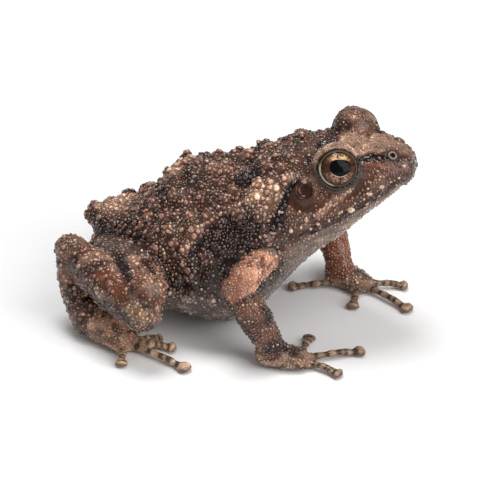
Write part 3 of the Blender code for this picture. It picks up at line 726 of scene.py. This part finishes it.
def skin_material(name, wrinkle_size, wrinkle_depth, film_depth, film_roughness, film_ior):
    """Moist skin: painted colour broken by fine specks, fine wrinkles, and a film of water."""
    material = bpy.data.materials.new(name)
    material.use_nodes = True
    tree = material.node_tree
    shader = tree.nodes["Principled BSDF"]
    place = tree.nodes.new("ShaderNodeTexCoord")
    span = tree.nodes.new("ShaderNodeMapRange")
    set_sockets(span, From_Min=0.3, From_Max=0.7, To_Min=0.55, To_Max=1.45)
    tree.links.new(add_noise(tree, place, 0.1, 3.0), span.inputs["Value"])
    shade = tree.nodes.new("ShaderNodeVectorMath")
    shade.operation = "SCALE"
    tree.links.new(add_paint(tree), shade.inputs[0])
    tree.links.new(span.outputs["Result"], shade.inputs["Scale"])
    tree.links.new(shade.outputs["Vector"], shader.inputs["Base Color"])
    wrinkles = add_noise(tree, place, wrinkle_size, 2.0)
    add_bump(tree, wrinkles, wrinkle_depth, shader.inputs["Normal"])
    film = add_noise(tree, place, 0.26, 1.0)
    add_bump(tree, film, film_depth, shader.inputs["Coat Normal"])
    set_sockets(shader, Roughness=0.6, Specular_IOR_Level=0.0, Coat_Weight=1.0)
    set_sockets(shader, Coat_Roughness=film_roughness, Coat_IOR=film_ior)
    return material


hide.data.materials.append(skin_material("moist_hide", 0.14, 0.045, 0.03, 0.08, 1.38))
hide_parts(*flesh)
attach(hide, "root")


# The granules
# Small glossy grains of skin that stand close together over the back, flanks and limbs, with
# paler tips. Each is a low dome rooted in the hide, set by chance but never on its neighbour.
GRANULE_TRIES = 130000
LARGEST = 0.46               # no granule is wider from its middle
rng = np.random.default_rng(11)
hide.data.calc_loop_triangles()
triangles = read_rows(hide.data.loop_triangles, "vertices", 3, int)
a, b, c = (P[triangles[:, k]] for k in range(3))
areas = length(np.cross(b - a, c - a)) / 2
chosen = rng.choice(len(triangles), GRANULE_TRIES, p=areas / areas.sum())
r1, r2 = np.sqrt(rng.random(GRANULE_TRIES)), rng.random(GRANULE_TRIES)
weights = np.stack((1 - r1, r1 * (1 - r2), r1 * r2), 1)
roots = np.einsum("nk,nkd->nd", weights, P[triangles[chosen]])
facing = np.einsum("nk,nkd->nd", weights, N[triangles[chosen]])
facing /= length(facing)[:, None]
root_part = part[triangles[chosen, 0]]
root_share = np.einsum("nk,nk->n", weights, share[triangles[chosen]])


def granule_radius(places, facing, part, share, luck, chance):
    """How large a granule grows at each place, or 0 where the skin is bare."""
    torso, head = is_kind(part, "torso"), is_kind(part, "head")
    arm, digits = is_kind(part, "upper_arm", "forearm"), is_kind(part, "finger", "toe")
    hind = is_kind(part, *LEG)
    dark_flank = spot(places, BLACK_FLANK, (2.5, 2.7, 2.5), 0.2, 31) > 0.5
    back = torso & (facing[:, 2] > 0.3) & ~dark_flank
    size = np.where(torso, 0.1, np.where(head, 0.08, 0.09)) + 0.07 * chance
    size = np.where(back & (luck > 0.86), 0.15 + 0.07 * chance, size)
    size = np.where((torso & ~dark_flank | hind) & (luck > 0.975), 0.16 + 0.06 * chance, size)
    size = np.where((head | arm) & (luck > 0.985), 0.12 + 0.06 * chance, size)
    size = np.where(back & (luck > 0.988), 0.2 + 0.1 * chance, size)
    size = np.where(digits, 0.05, size) * (1 + 0.2 * grain(places, 1.2, 66))
    reach, outside, turn = eye_angles(places)
    lids = (reach < LID_REACH) & (outside < 0.6)
    crown = head & (facing[:, 2] > 0.45) & (places[:, 0] > 8) & ~lids
    bare = digits & ((share > 0.78) | (luck > 0.15))
    bare |= head & (luck < np.where(crown, 0.85, 0.4))
    bare |= (stroke(places, EAR_PATCH, 0.42, 0.3, 45) > 0.3) & (luck < 0.85)
    bare |= is_kind(part, "upper_arm") & (luck < 0.6)
    bare |= is_kind(part, "hand", "foot") & (luck < 0.65) | is_kind(part, "forearm") & (luck < 0.35)
    bare |= hind & (luck < np.where(grain(places, 1.3, 65) > -0.2, 0.85, 0.5))
    under = np.where((places[:, 0] > 4) & (torso | head), 0.1, -0.4)
    bare |= (facing[:, 2] < under) & (luck < 0.9)
    bare |= torso & (places[:, 2] < 4.0 + 0.8 * grain(places, 1.5, 64)) & (luck < 0.85)
    bare |= (grain(places, 0.8, 67) > 0.25) & (luck < 0.85)
    bare |= (reach < LID_REACH) & (outside < np.where(np.sin(turn) > 0.1, 0.1, 0.4))
    bare |= ear_reach(places) < 1.2
    bare |= nostril_reach(places) < 0.45
    bare |= head & (np.abs(mouth_height(places)) < 0.12) & (places[:, 0] > 6.2)
    bare |= places[:, 2] < 0.25
    return np.where(bare, 0.0, size)


luck, chance = rng.random(GRANULE_TRIES), rng.random(GRANULE_TRIES)
radii = granule_radius(roots, facing, root_part, root_share, luck, chance)
# The hide's painted shade at each root, which also makes granules smaller where the hide lies low.
root_relief_shade = np.einsum("nk,nk->n", weights, relief_shade[triangles[chosen]])
radii *= 0.5 + 0.55 * root_relief_shade
taken = {}


def crowded(place, cell, radius):
    """True if a granule there would stand on one that has its place already."""
    x, y, z = place
    for near in itertools.product(*((c - 1, c, c + 1) for c in cell)):
        for (a, b, c), wide in taken.get(near, ()):
            gap = 0.9 * (radius + wide)
            if (x - a) ** 2 + (y - b) ** 2 + (z - c) ** 2 < gap * gap:
                return True
    return False


kept = []
for k in np.argsort(-radii * (0.8 + 0.4 * rng.random(GRANULE_TRIES)), kind="stable"):
    if radii[k] == 0:
        break
    place = roots[k].tolist()
    cell = tuple(int(c // (2 * LARGEST)) for c in place)
    if not crowded(place, cell, radii[k]):
        taken.setdefault(cell, []).append((place, radii[k]))
        kept.append(k)
kept = np.array(kept)

roots, facing, radii, relief_shade_there = roots[kept], facing[kept], radii[kept], root_relief_shade[kept]
root_part, root_share = root_part[kept], root_share[kept]
on_trunk, on_skull = is_kind(root_part, "torso"), is_kind(root_part, "head")

PALE_TIPS = {                # the share of granules with pale tips
    "torso": 0.12, "head": 0.1, "upper_arm": 0.06, "forearm": 0.08, "thigh": 0.08, "shank": 0.08,
    "tarsus": 0.06,
}
# Painted shade and light: each granule is painted darker in the hide's hollows and lighter on its lumps, like
# the hide where it stands.
base = markings(roots, facing, root_part, root_share) * (0.08 + relief_shade_there)[:, None]
tint = rng.random(len(kept))
tip_luck = rng.random(len(kept)) + 0.25 * grain(roots, 1.3, 68)
pale_share = np.full(len(kept), 0.15)
for kind, amount in PALE_TIPS.items():
    pale_share[is_kind(root_part, kind)] = amount
behind = spot(roots, HIND_FLANK, (2.0, 2.5, 2.8), 0.3, 25)
shoulder = spot(roots, (3.4, 4.6, 13.0), (1.9, 1.6, 2.0), 0.3, 26)
black_flank = spot(roots, BLACK_FLANK, (2.3, 2.5, 2.3), 0.3, 31)
black_back = spot(roots, BLACK_BACK, (1.35, 1.0, 1.1), 0.3, 32)
pale_share += 0.22 * np.maximum(behind, shoulder)
pale_share *= 1 - 0.75 * np.maximum(black_flank, black_back)
rich = np.where(on_trunk, 1.0, np.where(on_skull, 0.25, 0.5))
tips = base * (1.1 + rich * (0.35 + 1.7 * tint ** 2))[:, None]
cover = brush_over(tips)
cover(black_flank * 0.5, RUSSET * 0.65)
pale_tip = (tip_luck < pale_share) & (radii < 0.17)
cover(pale_tip * (0.3 + 0.6 * tint), np.where((tint > 0.5)[:, None], CREAM * 1.1, TAN * 1.3))
cover((tip_luck > 0.85) * (0.4 - 0.3 * black_back), RUSSET * 1.2)
# Painted shade: the foot of each granule is painted darker than the skin round it, for the shade where the
# dome meets the hide.
shaded_feet = base * (0.5 + 0.2 * tint)[:, None]

PATCH = 0.0015               # half the width of a dome's patch on the sheet
SHEET_EDGE = 0.97            # the share of its room that an unrolled part fills
SHEET_PLACE = {}             # corner, width and height of the room of each part
limb_count = digit_count = 0
for number, name in enumerate(PARTS):
    if name == "torso":
        room = (0.005, 0.505, 0.99, 0.49)
    elif name == "head":
        room = (0.005, 0.005, 0.49, 0.49)
    elif name.startswith(("finger", "toe")):
        room = (0.505 + 0.027 * digit_count, 0.41, 0.022, 0.085)
        digit_count += 1
    else:
        room = (0.505 + 0.123 * (limb_count % 4), 0.005 + 0.1 * (limb_count // 4), 0.115, 0.092)
        limb_count += 1
    SHEET_PLACE[number] = room


def on_sheet(part, share, places):
    """Where a part's skin lies when it is unrolled flat, in a square of side 1."""
    corner = np.zeros((len(places), 2))
    for number, (middle, spread, low, high) in axes.items():
        here = part == number
        if not here.any():
            continue
        flat_a = unit(np.cross(spread, (0.0, 0.0, 1.0)))
        flat_b = np.cross(spread, flat_a)
        around = np.arctan2((places[here] - middle) @ flat_b, (places[here] - middle) @ flat_a)
        x0, y0, w, h = SHEET_PLACE[number]
        across, along = around / (2 * np.pi) + 0.5, np.clip(share[here], 0, 1)
        corner[here] = np.column_stack((x0 + across * w * SHEET_EDGE, y0 + along * h * SHEET_EDGE))
    return corner


def domes(name, centre, out, radius, shaded_feet, tips, sheet, sides, rings, tip_height, uneven):
    """One piece of closed domes. A ring is its share of the radius, its height, and how far its
    colour is the tip's."""
    side = np.cross(out, np.where(np.abs(out[:, 2:]) > 0.9, (1.0, 0.0, 0.0), (0.0, 0.0, 1.0)))
    side /= length(side)[:, None]
    over = np.cross(out, side)
    radius = radius[:, None]
    stretch = 1 + 0.4 * (rng.random(len(centre)) - 0.5)[:, None]
    tall = 0.75 + 0.5 * rng.random(len(centre))[:, None]
    spin = rng.random(len(centre))[:, None] * 2 * np.pi
    count = sides * len(rings) + 1
    places = np.empty((len(centre), count, 3))
    colours = np.empty((len(centre), count, 3))
    flat = np.empty((len(centre), count, 2))
    for ring, (width, height, mix) in enumerate(rings):
        for k in range(sides):
            angle = 2 * np.pi * (k + 0.5 * ring) / sides
            turn = angle + spin
            n = ring * sides + k
            places[:, n] = centre + radius * (
                width * stretch * np.cos(turn) * side + width / stretch * np.sin(turn) * over
                + height * tall * out
            )
            # Each ring blends from the painted shade at the foot to the colour of the tip.
            colours[:, n] = shaded_feet * (1 - mix) + tips * mix
            flat[:, n] = sheet + PATCH * width * np.array((math.cos(angle), math.sin(angle)))
    places[:, -1] = centre + radius * tip_height * tall * out
    lumps = grain(places.reshape(-1, 3), 0.17, 85).reshape(-1, count, 1)
    places += (places - centre[:, None]) * uneven * lumps
    colours[:, -1] = tips
    flat[:, -1] = sheet
    faces = [(0, k + 1, k) for k in range(1, sides - 1)]
    for low in range(0, sides * (len(rings) - 1), sides):
        for k in range(sides):
            n = (k + 1) % sides
            faces.append((low + k, low + n, low + sides + k))
            faces.append((low + n, low + sides + n, low + sides + k))
    last = (len(rings) - 1) * sides
    faces.extend((last + k, last + (k + 1) % sides, count - 1) for k in range(sides))
    all_faces = (np.array(faces)[None] + np.arange(len(centre))[:, None, None] * count).reshape(-1, 3)
    mesh = bpy.data.meshes.new(name)
    mesh.from_pydata((places.reshape(-1, 3) * MM).tolist(), [], all_faces.tolist())
    layer = mesh.uv_layers.new(name="OFBake")
    layer.data.foreach_set("uv", flat.reshape(-1, 2)[all_faces.ravel()].ravel())
    piece = bpy.data.objects.new(name, mesh)
    bpy.context.scene.collection.objects.link(piece)
    give_colours(piece, np.clip(colours.reshape(-1, 3), 0.0, 0.95))
    only(piece)
    bpy.ops.object.shade_smooth()
    piece.data.materials.append(granule_skin)
    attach(piece, "root")


granule_skin = skin_material("granule_skin", 0.1, 0.006, 0.008, 0.08, 1.8)
sheet = on_sheet(root_part, root_share, roots)
GRANULE_SHAPE = (5, ((1.0, -0.15, 0.0), (0.76, 0.4, 0.45)), 0.58, 0.35)
WART_SHAPE = (9, ((1.0, -0.15, 0.0), (0.86, 0.26, 0.3), (0.52, 0.5, 0.8)), 0.58, 0.35)
PUSTULE_SHAPE = (12, ((1.0, -0.1, 0.0), (0.93, 0.22, 0.5), (0.72, 0.46, 0.9), (0.4, 0.6, 1.0)), 0.65, 0.12)
wide, left, on_arms_or_legs = radii > 0.165, roots[:, 1] > 0, ~on_trunk & ~on_skull
for name, mask, shape in (
    ("granules_trunk_left", on_trunk & left & ~wide, GRANULE_SHAPE),
    ("granules_trunk_right", on_trunk & ~left & ~wide, GRANULE_SHAPE),
    ("granules_head", on_skull & ~wide, GRANULE_SHAPE),
    ("granules_limbs_left", on_arms_or_legs & left & ~wide, GRANULE_SHAPE),
    ("granules_limbs_right", on_arms_or_legs & ~left & ~wide, GRANULE_SHAPE),
    ("warts", wide, WART_SHAPE),
):
    rows = (values[mask] for values in (roots, facing, radii, shaded_feet, tips, sheet))
    domes(name, *rows, *shape)


# The pale pustules
# Larger round warts in cream and buff, along the lips, under the ear, on the shoulder and down
# the flank. They are set in the skin like the granules.
PUSTULES = (                 # place on the left side, and radius
    (12.42, 2.84, 14.72, 0.22), (11.62, 3.45, 14.3, 0.25), (12.26, 3.1, 14.03, 0.14),
    (11.43, 3.59, 13.45, 0.26), (10.32, 4.29, 13.13, 0.3), (7.01, 5.46, 12.35, 0.24),
    (7.68, 5.24, 12.78, 0.2), (11.21, 3.74, 13.95, 0.13), (13.01, 2.34, 14.99, 0.15),
    (13.78, 1.31, 15.99, 0.17), (13.53, 1.86, 15.17, 0.14), (8.75, 5.01, 12.28, 0.16),
    (7.94, 5.3, 12.04, 0.2), (9.67, 4.57, 13.0, 0.13), (5.89, 5.75, 11.33, 0.27),
    (4.48, 5.95, 11.13, 0.3), (3.57, 6.17, 10.66, 0.2), (4.89, 5.41, 12.71, 0.16),
    (2.96, 3.75, 13.93, 0.16), (6.44, 5.17, 12.9, 0.15), (0.1, 5.18, 11.55, 0.2),
    (1.45, 4.75, 12.43, 0.2), (-1.42, 5.62, 10.55, 0.22), (-2.41, 6.46, 8.94, 0.18),
    (-2.63, 6.87, 7.76, 0.18), (-2.12, 7.23, 6.39, 0.18), (-3.96, 5.97, 9.79, 0.16),
    (-6.12, 4.35, 9.83, 0.22), (-1.35, 5.01, 11.22, 0.14), (6.65, 5.55, 11.7, 0.2),
    (7.4, 5.45, 11.6, 0.14), (3.1, 4.9, 12.7, 0.14),
)
hide_finder = BVHTree.FromPolygons([Vector(p) for p in P], triangles.tolist())
rows = [(*place, 0.0) for place in PUSTULES]
for line, count, low, high, tan in ((CHEEK_GLAND, 22, 0.09, 0.18, 1.0), (FLANK_LINE, 26, 0.08, 0.16, 0.5)):
    for step in np.linspace(0, len(line) - 1, count):
        place = np.array([np.interp(step, range(len(line)), line[:, axis]) for axis in range(3)])
        rows.append((*(place + rng.uniform(-0.16, 0.16, 3)), rng.uniform(low, high), tan))
found = []
for x, y, z, radius, tan in rows:
    for side in (-1, 1):
        shift = rng.uniform(-0.3, 0.3, 3) if side == 1 else np.zeros(3)
        touch, out, _, _ = hide_finder.find_nearest(Vector((x, side * y, z)) + Vector(shift))
        found.append((*touch, *out, radius * rng.uniform(0.7, 1.0), tan))
found = np.array(found)
pustule_roots, pustule_out = found[:, :3], found[:, 3:6]
pustule_part, pustule_share = part_at(pustule_roots)
pustule_base = markings(pustule_roots, pustule_out, pustule_part, pustule_share)
buff = np.tile(CREAM, (len(pustule_roots), 1))
cover = brush_over(buff)
cover(rng.random(len(pustule_roots)) * 0.9, TAN * 0.9)
cover(found[:, 7], TAN * 0.7 + SALMON * 0.15)
# Painted shade: the foot of each pustule is painted a little darker than the hide round it.
domes(
    "pustules", pustule_roots, pustule_out, found[:, 6], pustule_base * 0.8, buff,
    on_sheet(pustule_part, pustule_share, pustule_roots), *PUSTULE_SHAPE,
)


# The eyes
# Each eyeball is a clear, wet ball with a gold and copper iris round a level, oval pupil. The
# iris is gold above, dark at the sides and rosy below, inside a black ring.
def eye_paint(u, v, turn):
    """The colours of the iris, by place across and up from its middle, the ring being at 1."""
    r = np.hypot(u, v)
    places = np.column_stack((np.cos(turn) * 3.0, np.sin(turn) * 3.0, r * 1.2))
    streak = 0.5 * grain(places, 0.25, 81) + 0.5 * grain(places, 0.12, 82)
    fleck = grain(np.column_stack((u, v, r)), 0.09, 83)
    glow = np.maximum(1 + 1.7 * streak + 0.5 * (np.abs(u) < 0.3), 0.1)
    gold = np.array((0.40, 0.25, 0.125)) * glow[:, None]
    rosy = np.array((0.25, 0.15, 0.105)) * np.maximum(1 + 1.6 * streak, 0.1)[:, None]
    dark = np.array((0.05, 0.016, 0.008)) * (1 + 0.7 * streak)[:, None]
    colours = rosy.copy()
    cover = brush_over(colours)
    cover(step_up(0.1, 0.35, v), gold)
    cover(step_up(-0.1, 0.35, fleck) * 0.8, dark * 1.2)
    sides = (1 - step_up(0.2, 0.5, np.abs(v - 0.12))) * step_up(0.3, 0.5, np.abs(u))
    cover(sides * 0.95, dark)
    cover(step_up(0.64, 0.8, r) * 0.75, dark)
    across, high = (u - 0.05) / 0.53, (v - 0.07) / 0.45
    lofty = np.where(high > 0, 2.8, 1.8)
    pupil = (np.abs(across) ** lofty + np.abs(high) ** lofty) ** (1 / lofty)
    notch = (np.abs(u - 0.08) < 0.035 + 0.02 * streak) & (v < 0) | (np.abs(u + 0.06) < 0.03) & (v > 0.2)
    cover(notch * 0.9, dark * 0.3)
    rim = (1 - step_up(1.03, 1.09, pupil)) * step_up(0.24, 0.4, np.abs(v - 0.05)) * (np.abs(u - 0.05) < 0.36)
    cover(rim, (0.60, 0.47, 0.31))
    cover(1 - step_up(0.98, 1.02, pupil), (0.002, 0.002, 0.003))
    cover(step_up(0.82, 0.85, r), (0.004, 0.003, 0.003))
    cover(step_up(0.885, 0.9, r), (0.09, 0.06, 0.04))
    crescent = step_up(0.885, 0.9, r) * step_up(0.6, 0.85, np.cos(turn - math.radians(212)))
    cover(crescent * 0.9, (0.50, 0.44, 0.29))
    cover(step_up(0.965, 0.985, r), (0.004, 0.003, 0.003))
    return colours


RING_RADII = (1.54, 1.46)
CORNEA_RISE = 0.06
eye_glaze = bpy.data.materials.new("eye_glaze")
eye_glaze.use_nodes = True
tree = eye_glaze.node_tree
glaze = tree.nodes["Principled BSDF"]
tree.links.new(add_paint(tree), glaze.inputs["Base Color"])
set_sockets(glaze, Roughness=0.6, Specular_IOR_Level=0.0, Coat_Weight=0.32, Coat_Roughness=0.02, Coat_IOR=1.4)
for side, word in ((-1, "right"), (1, "left")):
    mirror = np.array((1, side, 1))
    looks, across, over = EYE_LOOKS * mirror, EYE_ACROSS * mirror, EYE_OVER * mirror
    seat = EYE_CENTRE * mirror
    bpy.ops.object.select_all(action="DESELECT")
    bpy.ops.mesh.primitive_uv_sphere_add(segments=160, ring_count=140, radius=EYE_RADIUS * MM)
    eyeball = bpy.context.object
    eyeball.name = eyeball.data.name = "eyeball_" + word
    eyeball.rotation_mode = "QUATERNION"
    eyeball.rotation_quaternion = Vector(looks).to_track_quat("Z", "Y")
    eyeball.location = Vector(seat) * MM
    bpy.ops.object.transform_apply(location=True, rotation=True, scale=True)
    places = points_of(eyeball)
    d = places - seat
    u, v = d @ across / RING_RADII[0], d @ over / RING_RADII[1]
    front = d @ looks > 0
    u, v = np.where(front, u, u * 9), np.where(front, v, v * 9)
    give_colours(eyeball, eye_paint(u, v, np.arctan2(v, u)))
    bulge = CORNEA_RISE * (1 - step_up(0.0, 1.0, np.hypot(u, v))) * front
    set_points(eyeball, places + d / length(d)[:, None] * bulge[:, None])
    bpy.ops.object.shade_smooth()
    eyeball.data.materials.append(eye_glaze)
    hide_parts("eye_" + word)
    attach(eyeball, "root")


# The floor, the light and the camera
# A plain white sweep under a wide soft light from above, a softbox ahead of the frog, and weak
# light all round. The camera stands 260 mm off, 16 degrees from square on and 30 degrees up.
bpy.ops.object.select_all(action="DESELECT")
FLOOR_DROP = 0.00002         # the floor lies this far below the soles, so that they do not meet it
bpy.ops.mesh.primitive_plane_add(size=3.0, location=(0, 0, -FLOOR_DROP))
floor = bpy.context.object
floor.name = "floor"
floor_paint = bpy.data.materials.new("white_sweep")
floor_paint.use_nodes = True
set_sockets(floor_paint.node_tree.nodes["Principled BSDF"], Base_Color=(0.86, 0.86, 0.86, 1), Roughness=0.9)
floor.data.materials.append(floor_paint)

world = bpy.data.worlds.new("studio")
bpy.context.scene.world = world
world.use_nodes = True
set_sockets(world.node_tree.nodes["Background"], Color=(1, 1, 1, 1), Strength=0.34)


SUBJECT = Vector((0, 0, 0.008))


def soft_light(name, place, size, power):
    bpy.ops.object.light_add(type="AREA", location=place)
    light = bpy.context.object
    light.name = name
    light.data.size = size
    light.data.energy = power
    light.rotation_euler = (SUBJECT - Vector(place)).to_track_quat("-Z", "Y").to_euler()


soft_light("overhead", (-0.05, 0.02, 0.40), 0.15, 0.97)
soft_light("softbox_ahead", (0.21, -0.13, 0.30), 0.26, 0.65)
soft_light("low_fill", (0.34, -0.12, 0.11), 0.26, 0.7)

CAMERA_TURN, CAMERA_RISE = math.radians(16), math.radians(30)
CAMERA_DISTANCE = 0.26
FRAME_WIDTH = 0.03871        # width of the picture at the subject
AIM_RIGHT, AIM_UP = 0.00009, -0.00143
back = Vector((
    math.sin(CAMERA_TURN) * math.cos(CAMERA_RISE), -math.cos(CAMERA_TURN) * math.cos(CAMERA_RISE),
    math.sin(CAMERA_RISE),
))
to_right = Vector((math.cos(CAMERA_TURN), math.sin(CAMERA_TURN), 0))
to_top = back.cross(to_right)
aim = SUBJECT + to_right * AIM_RIGHT + to_top * AIM_UP
bpy.ops.object.camera_add(location=SUBJECT + back * CAMERA_DISTANCE)
camera = bpy.context.object
camera.rotation_euler = (aim - camera.location).to_track_quat("-Z", "Y").to_euler()
camera.data.sensor_width = 36
camera.data.lens = 36 * CAMERA_DISTANCE / FRAME_WIDTH
camera.data.clip_start = 0.01
bpy.context.scene.camera = camera
bpy.context.scene.view_settings.view_transform = "Standard"
